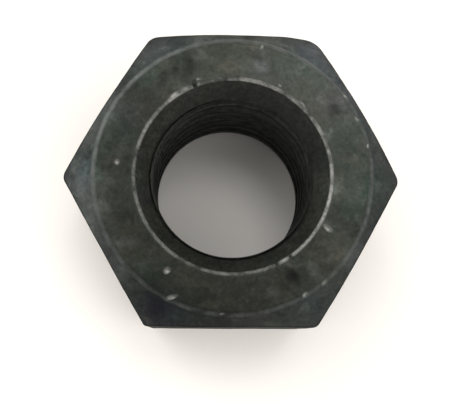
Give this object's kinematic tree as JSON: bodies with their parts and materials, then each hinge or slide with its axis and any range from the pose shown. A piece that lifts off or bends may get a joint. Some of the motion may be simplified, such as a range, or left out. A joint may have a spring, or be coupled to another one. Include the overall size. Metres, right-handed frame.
{
  "type": "hex nut",
  "caption": "Heavy hexagon nut in black heat-treated steel, with chamfered corners, a countersunk mouth at each end and a coarse right-hand internal thread.",
  "frame": {"origin": "centre of the lower bearing face, on the thread's axis", "axes": "+Z along the thread's axis, out of the upper bearing face; two wrench flats face +Y and -Y and two corners point to +X and -X"},
  "size_m": [0.0473, 0.0412, 0.025],
  "materials": {
    "black_steel": "satin black oxide heat-treatment scale over forged and machined steel, with bright wear on the machined edges and in small dents"
  },
  "bodies": {
    "root": {"hex_nut": "black_steel"}
  },
  "joints": []
}
